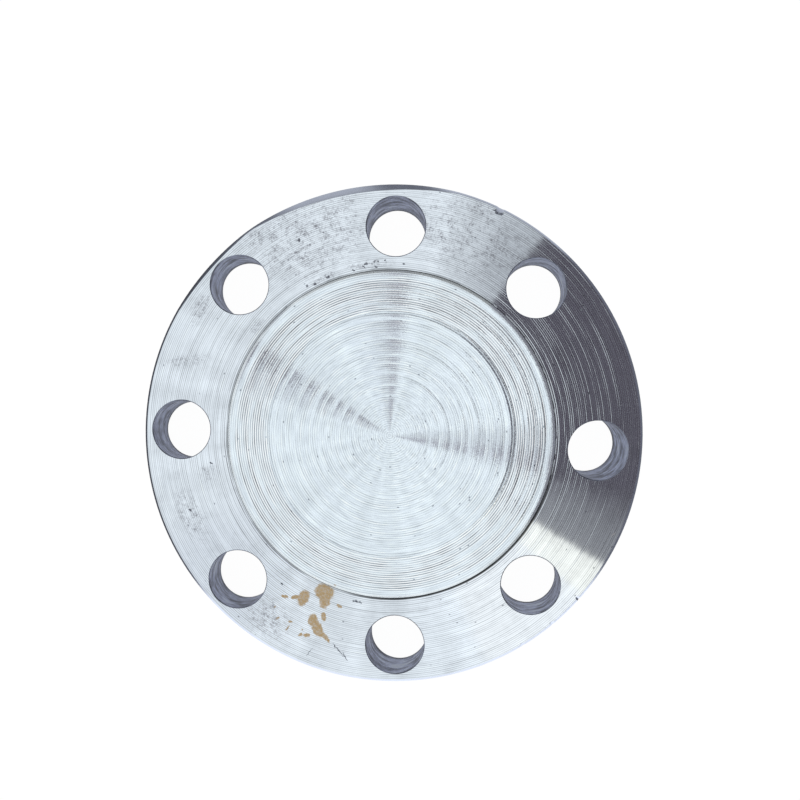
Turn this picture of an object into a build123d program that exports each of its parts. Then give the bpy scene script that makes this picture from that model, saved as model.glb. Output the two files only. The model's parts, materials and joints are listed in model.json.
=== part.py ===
"""Raised-face blind flange with eight bolt holes, turned from one steel plate.

Millimetres. The turning axis is Z, the back face lies on z = 0 and the raised
face looks along +Z. It is one piece, so there is one solid and no joint.
"""

import os
from math import cos, pi, radians, sin

from build123d import *

# Plate, as turned
outside_radius = 95.5
plate_thickness = 23.0
edge_chamfer = 1.0

# Raised sealing face: its wall leans outwards down to the plate
face_radius = 61.5
face_root_radius = 63.0
face_height = 3.0
total_height = plate_thickness + face_height

# Two off-centre bevels on the front edge. Each is turned about an axis beside the
# plate's, so it shows as a lens: where its inner edge lies, how far its axis
# stands aside and in which direction
bevel_width = 6.0
bevels = ((120.6, 28.0, -80.0), (142.5, 48.7, -41.0))

# Bolt holes: eight even marks on a circle whose centre is a little off the turning
# axis. Each hole was drilled a little round the circle (slip, in degrees) and
# outwards (reach) from its mark. Some holes lean: the back end stands aside from
# the front end, in X and Y
bolt_circle_radius = 80.0
bolt_circle_x = -1.7
bolt_circle_y = -0.4
hole_radius = 11.25
hole_edge_break = 0.3
hole_marks = (0, 45, 90, 135, 180, 225, 270, 315)
hole_slips = (-2.6, 0.6, -1.7, 0.3, -0.6, 0.2, 3.6, 0.4)
hole_reaches = (0.6, -0.2, -0.3, 0.7, -0.7, 0.2, 0.6, -0.7)
hole_leans = ((-2.5, 1.7), (0, 0), (-0.7, -1.5), (-0.5, -0.3), (-0.7, -0.8), (-0.8, -0.5), (0.5, 0), (0, 0))

# Grooves that the turning tool left deeper than the rest
groove_width = 0.6
groove_depth = 0.15
face_groove_radii = (14.8, 22.7, 29.1, 34.3, 40.5, 46.2, 47.2, 51.0, 54.8, 58.6)
plate_groove_radii = (64.0, 66.4, 68.7)


with BuildPart() as blind_flange:
    # Half section of the turned plate with its raised face
    with BuildSketch(Plane.XZ):
        with BuildLine():
            Polyline(
                (0, 0),
                (outside_radius - edge_chamfer, 0),
                (outside_radius, edge_chamfer),
                (outside_radius, plate_thickness - edge_chamfer),
                (outside_radius - edge_chamfer, plate_thickness),
                (face_root_radius, plate_thickness),
                (face_radius, total_height),
                (0, total_height),
                close=True,
            )
        make_face()
    revolve(axis=Axis.Z)

    # The off-centre bevels: turned wedges whose axes stand beside the plate's
    for bevel_inner_radius, bevel_shift, bevel_angle in bevels:
        bevel_axis_x = bevel_shift * cos(radians(bevel_angle))
        bevel_axis_y = bevel_shift * sin(radians(bevel_angle))
        bevel_axis = Axis((bevel_axis_x, bevel_axis_y, 0), (0, 0, 1))
        with BuildSketch(Plane((bevel_axis_x, bevel_axis_y, 0), (1, 0, 0), (0, -1, 0))):
            with BuildLine():
                Polyline(
                    (bevel_inner_radius, plate_thickness),
                    (bevel_inner_radius + bevel_width, plate_thickness - bevel_width),
                    (bevel_inner_radius + bevel_width, plate_thickness + face_height),
                    (bevel_inner_radius, plate_thickness + face_height),
                    close=True,
                )
            make_face()
        revolve(axis=bevel_axis, mode=Mode.SUBTRACT)

    # Bolt holes, right through from front to back, with their edges taken off
    for mark, slip, reach, (lean_x, lean_y) in zip(hole_marks, hole_slips, hole_reaches, hole_leans):
        hole_x = bolt_circle_x + (bolt_circle_radius + reach) * cos(radians(mark + slip))
        hole_y = bolt_circle_y + (bolt_circle_radius + reach) * sin(radians(mark + slip))
        towards_front = (-lean_x, -lean_y, plate_thickness)
        with Locations(Plane((hole_x, hole_y, plate_thickness), z_dir=towards_front)):
            Hole(hole_radius, 2 * plate_thickness)
    hole_girth = 2 * pi * hole_radius
    girth_slack = 1.0
    hole_edges = blind_flange.edges().filter_by(lambda edge: abs(edge.length - hole_girth) < girth_slack)
    chamfer(hole_edges, hole_edge_break)

    # Turned grooves: on the raised face, at its root and on the plate
    grooves = [(radius, total_height) for radius in face_groove_radii]
    grooves += [(radius, plate_thickness) for radius in plate_groove_radii]
    with BuildSketch(Plane.XZ):
        with Locations(*grooves):
            Polygon(
                (-groove_width / 2, 0),
                (0, -groove_depth),
                (groove_width / 2, 0),
                (0, groove_depth),
            )
    revolve(axis=Axis.Z, mode=Mode.SUBTRACT)

blind_flange.part.label = "blind_flange"
blind_flange.part.color = Color(0.72, 0.74, 0.77)

os.makedirs("parts", exist_ok=True)
export_step(blind_flange.part, "parts/blind_flange.step")
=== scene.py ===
"""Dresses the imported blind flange: turned faces, drilled bores, bevelled rim, pits and stains.

Everything is in metres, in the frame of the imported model: the turning axis is Z,
the back face lies on z = 0 and the raised face looks along +Z. A place on the
flange is often given as a radius from the axis and an azimuth, counted
counter-clockwise from +X as seen from the front.
"""

from __future__ import annotations

import json
import logging
import math
from dataclasses import dataclass, field
from enum import Enum

import bmesh
import bpy
import numpy as np
from mathutils import Matrix, Vector

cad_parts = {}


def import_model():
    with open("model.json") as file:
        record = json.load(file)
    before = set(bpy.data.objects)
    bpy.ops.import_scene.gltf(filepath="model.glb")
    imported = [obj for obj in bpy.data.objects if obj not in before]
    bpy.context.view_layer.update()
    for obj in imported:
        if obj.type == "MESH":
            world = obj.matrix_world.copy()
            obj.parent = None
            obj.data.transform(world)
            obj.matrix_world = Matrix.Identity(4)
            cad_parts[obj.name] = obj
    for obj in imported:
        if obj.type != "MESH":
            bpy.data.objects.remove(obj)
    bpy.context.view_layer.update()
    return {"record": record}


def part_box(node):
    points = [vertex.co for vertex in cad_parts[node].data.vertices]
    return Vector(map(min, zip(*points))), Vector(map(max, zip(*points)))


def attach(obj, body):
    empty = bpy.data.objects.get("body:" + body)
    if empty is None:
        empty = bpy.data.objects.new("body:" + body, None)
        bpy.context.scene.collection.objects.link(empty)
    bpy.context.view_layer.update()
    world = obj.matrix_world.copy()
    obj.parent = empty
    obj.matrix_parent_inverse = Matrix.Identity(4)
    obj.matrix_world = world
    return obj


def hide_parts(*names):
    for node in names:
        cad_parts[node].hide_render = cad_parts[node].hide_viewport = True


log = logging.getLogger("flange")

Socket = bpy.types.NodeSocket
Value = float | bpy.types.NodeSocket
Triple = tuple[float, float, float]

MM = 0.001
FULL_TURN = 2.0 * math.pi
DEGREES = 180.0 / math.pi
WHITE = (1.0, 1.0, 1.0, 1.0)
NODE = "blind_flange"

# How far the turning tool moved along for each turn
FACE_FEED = 0.83 * MM
PLATE_FEED = 0.71 * MM

# Angle from straight up to the horizon, in degrees
HORIZON = 90.0

# Angles under this one, in radians, count as none where columns meet on a hole's ray
SMALLEST_ANGLE = 5e-4


class Skin(Enum):
    """The finish of each surface of the flange; the value is its material slot's number."""

    RAISED_FACE = 0
    PLATE = 1
    BORE = 2
    RIM = 3
    BACK = 4
    WALL = 5


# ---------------------------------------------------------------------------
# Shapes
# ---------------------------------------------------------------------------


@dataclass
class Patch:
    """A sheet of the flange's surface.

    Attributes:
        points: (n, 3) array of corner points.
        faces: Rows of point numbers, counter-clockwise as seen from outside.
        skin: The finish that the sheet takes.
    """

    points: np.ndarray
    faces: list[list[int]]
    skin: Skin


def grid_patch(grid: np.ndarray, skin: Skin, flip: bool = False) -> Patch:
    """Makes a sheet of four-sided faces from a grid of points.

    Face (i, j) joins points (i, j), (i+1, j), (i+1, j+1) and (i, j+1), so that it
    looks along the cross product of the row direction and the column direction.

    Args:
        grid: (rows, columns, 3) array of points.
        skin: The finish of the sheet.
        flip: Turns the faces round.

    Returns:
        The sheet.
    """
    rows, columns = grid.shape[:2]
    number = np.arange(rows * columns).reshape(rows, columns)
    quads = np.stack([number[:-1, :-1], number[1:, :-1], number[1:, 1:], number[:-1, 1:]], axis=-1)
    quads = quads.reshape(-1, 4)
    if flip:
        quads = quads[:, ::-1]
    return Patch(grid.reshape(-1, 3), quads.tolist(), skin)


def polar_points(radius: np.ndarray, azimuth: np.ndarray, height: np.ndarray) -> np.ndarray:
    """Turns radius, azimuth and height, which broadcast together, into points (x, y, z)."""
    radius, azimuth, height = np.broadcast_arrays(radius, azimuth, height)
    return np.stack([radius * np.cos(azimuth), radius * np.sin(azimuth), height], axis=-1)


def closed_turn(azimuths: np.ndarray) -> np.ndarray:
    """Adds the first of the azimuths again, one full turn on, so that a strip of faces closes."""
    return np.append(azimuths, azimuths[0] + FULL_TURN)


@dataclass(frozen=True)
class Groove:
    """One V groove turned into a face: its radius, width and depth."""

    radius: float
    width: float
    depth: float


def grooves_mm(*rows: Triple) -> tuple[Groove, ...]:
    """Makes grooves from rows of radius, width and depth in millimetres."""
    return tuple(Groove(radius * MM, width * MM, depth * MM) for radius, width, depth in rows)


@dataclass(frozen=True)
class GrooveTrain:
    """A run of shallow scallops that the turning tool leaves at a steady feed.

    Attributes:
        start: Radius of the first crest.
        stop: Radius of the last crest.
        feed: Distance between crests.
        depth: Mean depth of a scallop.
        unevenness: How much the depth differs from one scallop to the next, as a share.
    """

    start: float
    stop: float
    feed: float
    depth: float
    unevenness: float


@dataclass
class TurnedProfile:
    """How deep a turned face lies under its plane, as a function of the radius alone.

    Attributes:
        grooves: The single grooves.
        trains: The runs of scallops.
        seed: What the scallops' depths are drawn from.
        samples_per_feed: Into how many steps each scallop is cut.
    """

    grooves: tuple[Groove, ...]
    trains: tuple[GrooveTrain, ...]
    seed: int
    samples_per_feed: int = 3

    def __post_init__(self) -> None:
        """Draws the depth of every scallop."""
        draw = np.random.default_rng(self.seed)
        self.train_depths: list[np.ndarray] = []
        for train in self.trains:
            count = round((train.stop - train.start) / train.feed)
            spread = 1.0 + train.unevenness * draw.uniform(-1.0, 1.0, count)
            self.train_depths.append(train.depth * spread)

    def depth(self, radius: np.ndarray) -> np.ndarray:
        """Gives the depth under the plane.

        A V groove is its depth times (1 - distance / half width), where that is
        positive. A scallop is an arc between two crests: its depth times
        1 - (2u - 1) squared, where u runs from 0 to 1 between the crests. Where
        both are cut, the deeper one counts.

        Args:
            radius: Distances from the turning axis.

        Returns:
            Depths, of the same shape.
        """
        cut = np.zeros_like(radius)
        for groove in self.grooves:
            slope = 1.0 - np.abs(radius - groove.radius) / (groove.width / 2)
            cut = np.maximum(cut, groove.depth * slope)
        for train, depths in zip(self.trains, self.train_depths):
            feeds = (radius - train.start) / ((train.stop - train.start) / len(depths))
            index = np.clip(np.floor(feeds).astype(int), 0, len(depths) - 1)
            across = np.clip(feeds - index, 0.0, 1.0)
            cut = np.maximum(cut, depths[index] * (1.0 - (2.0 * across - 1.0) ** 2))
        return cut

    def radii(self, inner: float, outer: float, widest_step: float) -> np.ndarray:
        """Gives the radii at which the profile has to be sampled.

        Args:
            inner: The smallest radius wanted.
            outer: The largest radius wanted.
            widest_step: The largest gap between two radii.

        Returns:
            Sorted radii from inner to outer.
        """
        wanted = [np.array([inner, outer])]
        for groove in self.grooves:
            half = groove.width / 2
            wanted.append(groove.radius + half * np.array([-1.0, -0.5, 0.0, 0.5, 1.0]))
        for train, depths in zip(self.trains, self.train_depths):
            count = len(depths) * self.samples_per_feed
            wanted.append(np.linspace(train.start, train.stop, count + 1))
        radii = np.unique(np.round(np.concatenate(wanted), 6))
        radii = radii[(radii >= inner) & (radii <= outer)]
        steps = np.ceil(np.diff(radii) / widest_step).astype(int)
        filled = [np.linspace(a, b, n, endpoint=False) for a, b, n in zip(radii, radii[1:], steps)]
        return np.append(np.concatenate(filled), outer)


@dataclass(frozen=True)
class BoltHole:
    """A drilled hole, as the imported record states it: a point on its axis, the axis and the radius."""

    middle: tuple[float, float, float]
    axis: tuple[float, float, float]
    radius: float

    def centre(self, height: float) -> np.ndarray:
        """Gives x and y of the hole's axis at a height.

        They are the stated point's own, plus the rise from it times the axis's slope.

        Args:
            height: Height over the back face.

        Returns:
            Array of x and y.
        """
        rise = (height - self.middle[2]) / self.axis[2]
        return np.array(self.middle[:2]) + rise * np.array(self.axis[:2])


@dataclass(frozen=True)
class Bevel:
    """A bevel of 45 degrees turned off centre, so that it takes a lens out of the front edge.

    Attributes:
        inner_radius: Where it meets the plate, from its own axis.
        shift: How far its own axis stands from the flange's.
        angle: In which direction, in degrees.
    """

    inner_radius: float
    shift: float
    angle: float

    def start(self, azimuth: np.ndarray) -> np.ndarray:
        """Gives where the bevel starts, as a distance from the flange's axis.

        That is where the distance from the bevel's axis c is its inner radius B:
        at c.u + sqrt((c.u)^2 + B^2 - c^2), where u is the direction of the azimuth.

        Args:
            azimuth: Azimuths in radians.

        Returns:
            Radii, of the same shape.
        """
        along = self.shift * np.cos(azimuth - math.radians(self.angle))
        return along + np.sqrt(along**2 + self.inner_radius**2 - self.shift**2)


@dataclass(frozen=True)
class Chip:
    """A bite out of the front edge: its azimuth in degrees, its length along the edge and its depth."""

    azimuth: float
    length: float
    depth: float


@dataclass
class Sector:
    """Half of the plate's share round one bolt hole: from a border ray to the hole's own ray.

    Attributes:
        border: Azimuth of the ray halfway to the next hole.
        centre_azimuth: Azimuth of the hole's centre.
        centre_radius: Radius of the hole's centre.
        opening: Radius of the hole where it meets the plate.
        shares: Places of the columns, from 0 on the border to 1 on the hole.
    """

    border: float
    centre_azimuth: float
    centre_radius: float
    opening: float
    shares: np.ndarray

    @property
    def side(self) -> float:
        """Gives 1 where the border comes after the hole, counter-clockwise, and -1 before it."""
        return math.copysign(1.0, self.border - self.centre_azimuth)

    def azimuth(self, radius: np.ndarray, share: np.ndarray) -> np.ndarray:
        """Spreads the columns between the border and the hole's edge.

        The edge of a hole of radius a, with its centre at radius R, is seen at a
        radius r under the angle arccos((r^2 + R^2 - a^2) / (2 r R)) from the hole's
        own ray. Outside the hole's reach that angle is nothing, and the columns
        run up to the ray itself.

        Args:
            radius: Distances from the turning axis.
            share: Places of the columns, which broadcast with radius.

        Returns:
            Azimuths in radians.
        """
        big, small = self.centre_radius, self.opening
        ratio = (radius**2 + big**2 - small**2) / (2.0 * radius * big)
        half_angle = np.arccos(np.clip(ratio, -1.0, 1.0))
        half_angle = np.where(half_angle < SMALLEST_ANGLE, 0.0, half_angle)
        edge = self.centre_azimuth + self.side * half_angle
        return self.border + share * (edge - self.border)


@dataclass
class FlangeForm:
    """The sizes that the sub-assemblies of the flange share.

    Attributes:
        outside_radius: Radius of the flange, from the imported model.
        total_height: Height of the raised face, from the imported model.
        holes: The bolt holes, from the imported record, by azimuth.
        plate_height: Height of the plate's front.
        face_radius: Radius of the raised face.
        face_root_radius: Radius at the foot of its wall.
        edge_chamfer: Size of the chamfers on the plate's edges.
        hole_edge_break: Size of the chamfers on the holes.
        bevels: The off-centre bevels on the front edge.
        columns_per_sector: Faces round the flange in half of one hole's share.
        columns_per_chip: Extra columns across each chip.
        chips: Bites out of the front edge.
        sectors: The halves of the holes' shares, two for each hole, worked out from the rest.
    """

    outside_radius: float
    total_height: float
    holes: list[BoltHole]
    plate_height: float = 23.0 * MM
    face_radius: float = 61.5 * MM
    face_root_radius: float = 63.0 * MM
    edge_chamfer: float = 1.0 * MM
    hole_edge_break: float = 0.3 * MM
    bevels: tuple[Bevel, ...] = (
        Bevel(120.6 * MM, 28.0 * MM, -80.0),
        Bevel(142.5 * MM, 48.7 * MM, -41.0),
    )
    columns_per_sector: int = 12
    columns_per_chip: int = 5
    chips: tuple[Chip, ...] = (
        Chip(65.1, 3.4 * MM, 1.3 * MM),
        Chip(-39.8, 1.6 * MM, 0.8 * MM),
        Chip(-48.2, 1.8 * MM, 0.5 * MM),
        Chip(-56.6, 1.6 * MM, 0.4 * MM),
    )
    sectors: list[Sector] = field(default_factory=list)

    def __post_init__(self) -> None:
        """Shares the circle out among the bolt holes, with extra columns at the chips."""
        centres = [hole.centre(self.plate_height) for hole in self.holes]
        azimuths = np.unwrap([math.atan2(y, x) for x, y in centres])
        count = len(self.holes)
        for number, (x, y) in enumerate(centres):
            azimuth = azimuths[number]
            after = azimuths[(number + 1) % count] + (FULL_TURN if number == count - 1 else 0.0)
            before = azimuths[number - 1] - (FULL_TURN if number == 0 else 0.0)
            opening = self.holes[number].radius + self.hole_edge_break
            for border in ((before + azimuth) / 2, (azimuth + after) / 2):
                shares = self.shares(border, azimuth)
                self.sectors.append(Sector(border, azimuth, math.hypot(x, y), opening, shares))

    def shares(self, border: float, centre_azimuth: float) -> np.ndarray:
        """Places the columns of one sector: evenly, and some more across each chip in it.

        Args:
            border: Azimuth of the sector's border.
            centre_azimuth: Azimuth of its hole.

        Returns:
            Sorted places, from 0 on the border to 1 on the hole's ray.
        """
        shares = [np.linspace(0.0, 1.0, self.columns_per_sector + 1)]
        for chip in self.chips:
            across = np.linspace(-0.5, 0.5, self.columns_per_chip)
            across = across * chip.length / self.outside_radius
            turns = round((border - math.radians(chip.azimuth)) / FULL_TURN)
            azimuth = math.radians(chip.azimuth) + turns * FULL_TURN + across
            place = (azimuth - border) / (centre_azimuth - border)
            shares.append(place[(place > 0.0) & (place < 1.0)])
        return np.unique(np.round(np.concatenate(shares), 5))

    def azimuths(self) -> np.ndarray:
        """Gives the azimuths of all columns where no hole bends them.

        Returns:
            Azimuths once round, and the first again a full turn on.
        """
        turns = []
        for sector in self.sectors:
            columns = sector.border + sector.shares * (sector.centre_azimuth - sector.border)
            turns.append(np.sort(columns)[:-1])
        return closed_turn(np.concatenate(turns))

    def edge_radius(self, azimuth: np.ndarray) -> np.ndarray:
        """Gives the radius at which the plate's flat ends.

        The even chamfer starts one chamfer inside the rim. Where a bevel starts
        nearer the axis, the bevel counts. A chip moves the start inwards by its
        depth times 1 - (distance / half length)^2.

        Args:
            azimuth: Azimuths in radians.

        Returns:
            Radii, of the same shape.
        """
        start = np.full_like(azimuth, self.outside_radius - self.edge_chamfer)
        for bevel in self.bevels:
            start = np.minimum(start, bevel.start(azimuth))
        for chip in self.chips:
            turn = (azimuth - math.radians(chip.azimuth) + math.pi) % FULL_TURN - math.pi
            across = turn * self.outside_radius / (chip.length / 2)
            start = start - chip.depth * np.maximum(0.0, 1.0 - across**2)
        return start


@dataclass
class RaisedFace:
    """The sealing face: turned rings, coarser towards the edge, and the wall down to the plate.

    Attributes:
        form: The shared sizes.
        widest_step: The largest gap between two rings of points.
        pole_radius: Radius of the innermost ring, which a fan closes.
        wall_edge_width: Width of the rounding where the face meets its wall.
        least_lean: How far the fine facets lean outwards between the bands, in degrees.
        lean_fall: How much less they lean at the edge than in the middle, in degrees.
        lean_swing: How much more they lean at most inside a band, in degrees.
        swing_start: Share of lean_swing at a band's inner end.
        lean_bands: Where each band starts and ends.
        profile: The grooves.
    """

    form: FlangeForm
    widest_step: float = 2.2 * MM
    pole_radius: float = 0.4 * MM
    wall_edge_width: float = 0.12 * MM
    least_lean: float = 22.0
    lean_fall: float = 4.6
    lean_swing: float = 8.0
    swing_start: float = 0.4
    lean_bands: tuple[tuple[float, float], ...] = (
        (2.0 * MM, 14.0 * MM),
        (15.2 * MM, 18.8 * MM),
        (19.6 * MM, 23.2 * MM),
        (24.2 * MM, 27.0 * MM),
        (27.6 * MM, 30.0 * MM),
        (31.0 * MM, 36.4 * MM),
        (37.2 * MM, 43.9 * MM),
        (48.9 * MM, 57.6 * MM),
    )
    profile: TurnedProfile = field(
        default_factory=lambda: TurnedProfile(
            grooves=grooves_mm(
                (14.8, 0.6, 0.035),
                (19.7, 0.5, 0.020),
                (22.7, 0.6, 0.035),
                (25.7, 0.5, 0.025),
                (29.1, 0.6, 0.040),
                (34.3, 0.6, 0.040),
                (40.5, 0.6, 0.040),
                (46.2, 0.7, 0.110),
                (47.2, 0.6, 0.080),
                (51.0, 0.6, 0.070),
                (54.8, 0.6, 0.070),
                (58.6, 0.6, 0.070),
            ),
            trains=(
                GrooveTrain(2 * FACE_FEED, 16 * FACE_FEED, FACE_FEED, 0.006 * MM, 0.8),
                GrooveTrain(19 * FACE_FEED, 53 * FACE_FEED, 2 * FACE_FEED, 0.009 * MM, 0.4),
                GrooveTrain(58 * FACE_FEED, 65 * FACE_FEED, FACE_FEED, 0.040 * MM, 0.5),
                GrooveTrain(67 * FACE_FEED, 72 * FACE_FEED, FACE_FEED, 0.030 * MM, 0.5),
            ),
            seed=11,
        )
    )

    def lean(self, radius: np.ndarray) -> np.ndarray:
        """Gives how far the fine facets lean outwards, in radians.

        It is least_lean between the bands, and inside each it grows outwards by up
        to lean_swing. All of it falls evenly, by lean_fall from centre to edge.

        Args:
            radius: Distances from the turning axis.

        Returns:
            Angles, of the same shape.
        """
        swing = np.zeros_like(radius)
        for inner, outer in self.lean_bands:
            share = (radius - inner) / (outer - inner)
            height = self.swing_start + (1.0 - self.swing_start) * share
            swing = np.where((share > 0.0) & (share < 1.0), height, swing)
        fall = self.lean_fall * radius / self.form.face_radius
        return np.radians(self.least_lean + self.lean_swing * swing - fall)

    def build(self) -> list[Patch]:
        """Makes the face from rings about the axis, and closes its middle with a fan.

        Returns:
            The face, its middle and its wall.
        """
        form = self.form
        azimuths = form.azimuths()
        top, foot = form.total_height, form.plate_height
        outer = form.face_radius - self.wall_edge_width
        radii = self.profile.radii(self.pole_radius, outer, self.widest_step)
        heights = top - self.profile.depth(radii)
        face = polar_points(radii[:, None], azimuths[None, :], heights[:, None])
        halfway = (form.face_radius + form.face_root_radius) / 2
        wall_radii = np.array([radii[-1], form.face_radius, halfway, form.face_root_radius])
        shoulder = top - self.wall_edge_width / 2
        wall_heights = np.array([heights[-1], shoulder, foot + (top - foot) / 2, foot])
        wall = polar_points(wall_radii[:, None], azimuths[None, :], wall_heights[:, None])
        middle = np.array([[0.0, 0.0, top]])
        count = len(azimuths)
        fan = [[count, column, column + 1] for column in range(count - 1)]
        return [
            grid_patch(face, Skin.RAISED_FACE),
            Patch(np.concatenate([face[0], middle]), fan, Skin.RAISED_FACE),
            grid_patch(wall, Skin.WALL),
        ]


@dataclass
class Plate:
    """The turned plate round the raised face, with an opening for each bolt hole.

    Attributes:
        form: The shared sizes.
        widest_step: The largest gap between two circles of points.
        last_ring: Radius of the outermost circle; the rows after it bend towards the edge.
        edge_steps: How many rows follow it.
        least_gap: The smallest gap between two circles.
        middle_lean: How far the fine facets lean outwards, in degrees.
        opening_angles: Where round an opening, in degrees from its nearest and farthest
            point, a circle crosses it.
        bending_turns: How often a row and its azimuths are worked out in turn.
        profile: The grooves.
    """

    form: FlangeForm
    widest_step: float = 0.6 * MM
    last_ring: float = 91.8 * MM
    edge_steps: int = 8
    least_gap: float = 0.03 * MM
    middle_lean: float = 4.0
    opening_angles: tuple[float, ...] = (0.0, 6.0, 13.0, 21.0)
    bending_turns: int = 6
    profile: TurnedProfile = field(
        default_factory=lambda: TurnedProfile(
            grooves=grooves_mm(
                (64.0, 0.6, 0.025),
                (66.4, 0.6, 0.020),
                (68.7, 0.6, 0.030),
                (70.6, 0.6, 0.015),
            ),
            trains=(GrooveTrain(91 * PLATE_FEED, 132 * PLATE_FEED, PLATE_FEED, 0.012 * MM, 0.6),),
            seed=23,
        )
    )

    def lean(self, radius: np.ndarray) -> np.ndarray:
        """Gives how far the fine facets lean outwards, in radians: the same everywhere."""
        return np.full_like(radius, math.radians(self.middle_lean))

    def rows(self) -> tuple[np.ndarray, np.ndarray]:
        """Gives the rings of the plate.

        The rings up to last_ring are circles. Each row after them lies a fixed
        share of the way from there to the edge, which isn't a circle about the
        same axis. Both carry a row through the nearest and the farthest point of
        every hole, and rows close beside them.

        Returns:
            The radii of the circles, and the shares of the rows after them.
        """
        form = self.form
        radii: list[np.ndarray] = []
        shares: list[np.ndarray] = []
        for sector in form.sectors[::2]:
            reach = sector.opening * np.cos(np.radians(self.opening_angles))
            places = np.concatenate([sector.centre_radius - reach, sector.centre_radius + reach])
            radii.append(places[places <= self.last_ring])
            edge = form.edge_radius(np.array(sector.centre_azimuth))
            shares.append((places[places > self.last_ring] - self.last_ring) / (edge - self.last_ring))
        even_radii = self.profile.radii(form.face_root_radius, self.last_ring, self.widest_step)
        even_shares = np.linspace(0.0, 1.0, self.edge_steps + 1)[1:]
        least_share = self.least_gap / (form.outside_radius - self.last_ring)
        return (
            merged(np.concatenate(radii), even_radii, self.least_gap),
            merged(np.concatenate(shares), even_shares, least_share),
        )

    def lines(self, sector: Sector) -> np.ndarray:
        """Gives the radius and azimuth of each point of one sector.

        In the rows near the edge the radius depends on the azimuth, and the azimuth
        of a column on the radius, so the two are worked out in turn a few times.

        Args:
            sector: The sector.

        Returns:
            (rows, columns, 2) array.
        """
        circles, shares = self.rows()
        reach = self.form.outside_radius - self.last_ring
        radius = np.concatenate([circles, self.last_ring + shares * reach])
        radius = np.repeat(radius[:, None], len(sector.shares), axis=1)
        for _ in range(self.bending_turns):
            azimuth = sector.azimuth(radius, sector.shares[None, :])
            edge = self.form.edge_radius(azimuth[len(circles) :])
            radius[len(circles) :] = self.last_ring + shares[:, None] * (edge - self.last_ring)
        azimuth = sector.azimuth(radius, sector.shares[None, :])
        return np.stack([radius, azimuth], axis=-1)

    def build(self) -> list[Patch]:
        """Makes one grid for each sector.

        Returns:
            The grids.
        """
        patches = []
        for sector in self.form.sectors:
            lines = self.lines(sector)
            heights = self.form.plate_height - self.profile.depth(lines[..., 0])
            grid = polar_points(lines[..., 0], lines[..., 1], heights)
            patches.append(grid_patch(grid, Skin.PLATE, flip=sector.side > 0))
        return patches

    def edge_azimuths(self, sector: Sector) -> np.ndarray:
        """Gives the azimuths of one sector's columns where they reach the plate's edge."""
        return self.lines(sector)[-1, :, 1]

    def all_edge_azimuths(self) -> np.ndarray:
        """Gives the same once round, and the first one again at the end."""
        turns = [np.sort(self.edge_azimuths(sector))[:-1] for sector in self.form.sectors]
        return closed_turn(np.concatenate(turns))

    def opening(self, hole_number: int) -> np.ndarray:
        """Gives the points round one opening, from its point nearest the axis and back to it.

        Args:
            hole_number: Which of the form's holes.

        Returns:
            (n, 3) array of points, counter-clockwise as seen from the front.
        """
        halves = []
        slack = 1e-3 * MM
        for sector in self.form.sectors[2 * hole_number : 2 * hole_number + 2]:
            radius, azimuth = self.lines(sector)[:, -1].T
            reached = np.abs(radius - sector.centre_radius) <= sector.opening + slack
            height = self.form.plate_height - self.profile.depth(radius)
            halves.append(polar_points(radius, azimuth, height)[reached])
        return np.concatenate([halves[0], halves[1][-2::-1]])


def merged(fixed: np.ndarray, movable: np.ndarray, least_gap: float) -> np.ndarray:
    """Joins two lists of places in one sorted list.

    Args:
        fixed: Places that stay, apart from repeats within a thousandth of the gap.
        movable: Places that are left out where a fixed one is nearer than the gap,
            unless they are the first or the last.
        least_gap: The gap.

    Returns:
        The places, sorted.
    """
    fixed = np.sort(fixed)
    fixed = fixed[np.append(True, np.diff(fixed) > least_gap / 1000.0)]
    nearest = np.min(np.abs(movable[:, None] - fixed[None, :]), axis=1)
    keep = nearest > least_gap
    keep[[0, -1]] = True
    return np.sort(np.concatenate([fixed, movable[keep]]))


@dataclass
class Bores:
    """The walls of the bolt holes, with their edges broken at both ends.

    Attributes:
        form: The shared sizes.
        plate: The plate, whose openings the walls start from.
        wall_steps: Rings of points between the two broken edges.
    """

    form: FlangeForm
    plate: Plate
    wall_steps: int = 5

    def loops(self, hole_number: int) -> np.ndarray:
        """Gives the rings of one wall, from the front down to the back.

        Each ring lies at one height round the hole's axis there. The first is the
        plate's own opening, the next is one edge break lower and narrower, and the
        last is as wide as the first.

        Args:
            hole_number: Which of the form's holes.

        Returns:
            (rings, points, 3) array.
        """
        form, hole = self.form, self.form.holes[hole_number]
        mouth = self.plate.opening(hole_number)
        around = mouth[:, :2] - hole.centre(form.plate_height)
        around /= np.linalg.norm(around, axis=1, keepdims=True)
        edge = form.hole_edge_break
        inner_heights = np.linspace(form.plate_height - edge, edge, self.wall_steps)
        rings = [(height, hole.radius) for height in inner_heights] + [(0.0, hole.radius + edge)]
        loops = [mouth]
        for height, radius in rings:
            level = np.full((len(mouth), 1), height)
            loops.append(np.hstack([hole.centre(height) + radius * around, level]))
        return np.stack(loops)

    def build(self) -> list[Patch]:
        """Makes one wall for each hole, facing its axis."""
        numbers = range(len(self.form.holes))
        return [grid_patch(self.loops(number), Skin.BORE, flip=True) for number in numbers]


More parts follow.
